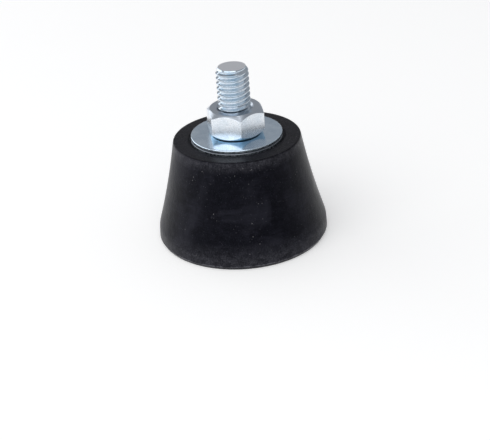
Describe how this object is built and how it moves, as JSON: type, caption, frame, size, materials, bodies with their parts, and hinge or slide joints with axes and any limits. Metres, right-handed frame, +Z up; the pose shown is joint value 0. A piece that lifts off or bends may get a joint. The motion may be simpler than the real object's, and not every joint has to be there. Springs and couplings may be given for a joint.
{
  "type": "furniture leveling foot",
  "caption": "Tapered rubber foot, wide end down, with a bonded steel plate, a threaded stud, a loose flat washer and a hex nut on top and a tapped bush in its base.",
  "frame": {"origin": "centre of the rubber's flat base face, on the stud's axis", "axes": "+Z runs up along the stud, from the wide base to the stud's free end"},
  "size_m": [0.042, 0.042, 0.0434],
  "materials": {
    "moulded_rubber": "dull moulded",
    "zinc_plate": "blue-white zinc plate",
    "zinc_thread": "blue-white zinc plate, rolled thread",
    "zinc_washer": "blue-white zinc plate",
    "zinc_nut": "bright blue-white zinc plate",
    "insert_steel": "plain steel"
  },
  "bodies": {
    "foot": {"rubber_body": "moulded_rubber", "top_plate": "zinc_plate", "threaded_stud": "zinc_thread", "base_plate": "insert_steel", "tapped_bush": "insert_steel"},
    "washer": {"flat_washer": "zinc_washer"},
    "nut": {"hex_nut": "zinc_nut"}
  },
  "joints": [
    {"name": "washer_slide", "type": "slide", "parent": "foot", "child": "washer", "axis": [0, 0, 1], "range_m": [0, 0.0102]},
    {"name": "nut_turn", "type": "hinge", "parent": "washer", "child": "nut", "pos_m": [0, 0, 0.02675], "axis": [0, 0, 1], "range_deg": [0, 2880]}
  ],
  "couplings": [
    {"joint": "washer_slide", "follows": "nut_turn", "m_per_rad": 0.00019894}
  ]
}
